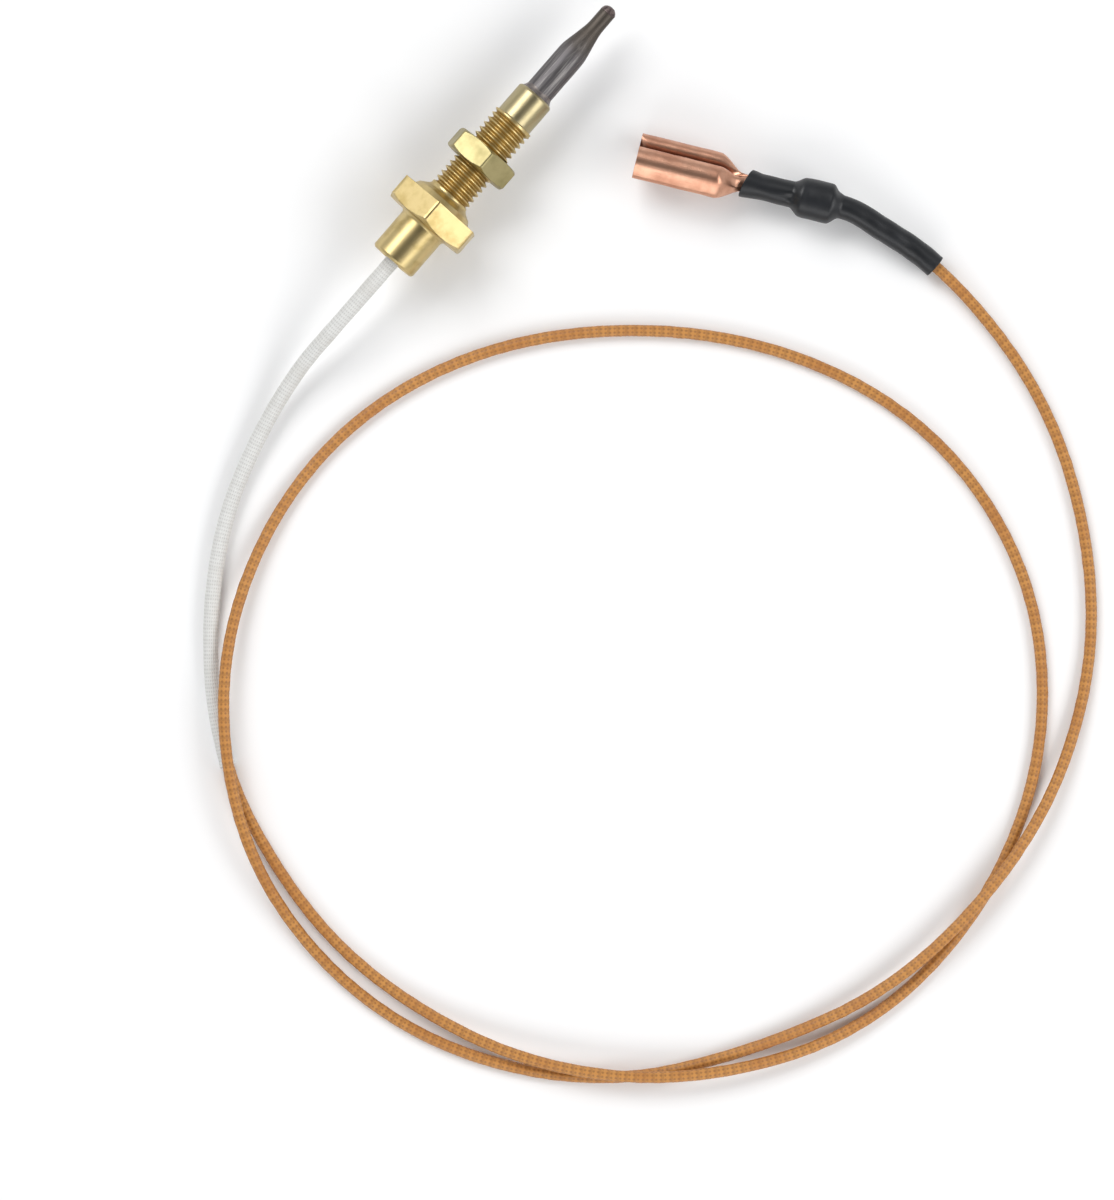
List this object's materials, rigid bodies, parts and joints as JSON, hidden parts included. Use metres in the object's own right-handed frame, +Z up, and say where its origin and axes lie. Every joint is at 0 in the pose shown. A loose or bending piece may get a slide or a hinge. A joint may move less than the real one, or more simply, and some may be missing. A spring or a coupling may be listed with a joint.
{
  "type": "thermocouple",
  "caption": "Gas hob thermocouple: a threaded brass head with a locknut and a tapered hot tip, on a long single insulated lead that ends in a push-on tab receptacle.",
  "frame": {"origin": "on the thread's axis, in the front face of the hexagon flange, which seats on a bracket", "axes": "+X along the head towards the hot tip, +Z up from the table the part lies on, +Y to the left of the head"},
  "size_m": [0.1477, 0.1432, 0.0161],
  "materials": {
    "body_brass": "machined, bright",
    "nut_brass": "machined, satin",
    "tinted_steel": "heat tinted, satin",
    "weld_bead": "oxidised weld",
    "silver_braze": "brazed, matt",
    "constantan": "drawn wire",
    "ceramic": "fired ceramic",
    "ferrule_copper": "crimped copper",
    "splice_mica": "mica tube",
    "cement": "dried cement",
    "conductor": "tinned copper",
    "amber_braid": "varnished glass-fibre braid",
    "white_braid": "glass-fibre braid",
    "bare_copper": "bright copper strip",
    "heat_shrink": "shrunk, soft sheen"
  },
  "bodies": {
    "root": {"threaded_body": "body_brass", "probe_sheath": "tinted_steel", "hot_junction_bead": "weld_bead", "braze_ring": "silver_braze", "constantan_core": "constantan", "tip_insulator": "ceramic", "stem_insulator": "ceramic", "body_insulator": "ceramic", "splice_ferrule": "ferrule_copper", "splice_insulator": "splice_mica", "cement_plug": "cement", "lead_conductor": "conductor", "insulated_lead": "amber_braid", "glass_fibre_sleeve": "white_braid", "tab_receptacle": "bare_copper", "heat_shrink_tube": "heat_shrink"},
    "nut": {"locknut": "nut_brass"}
  },
  "joints": [
    {"name": "locknut_travel", "type": "slide", "parent": "root", "child": "nut", "axis": [1, 0, 0], "range_m": [-0.0057, 0.0056]}
  ]
}
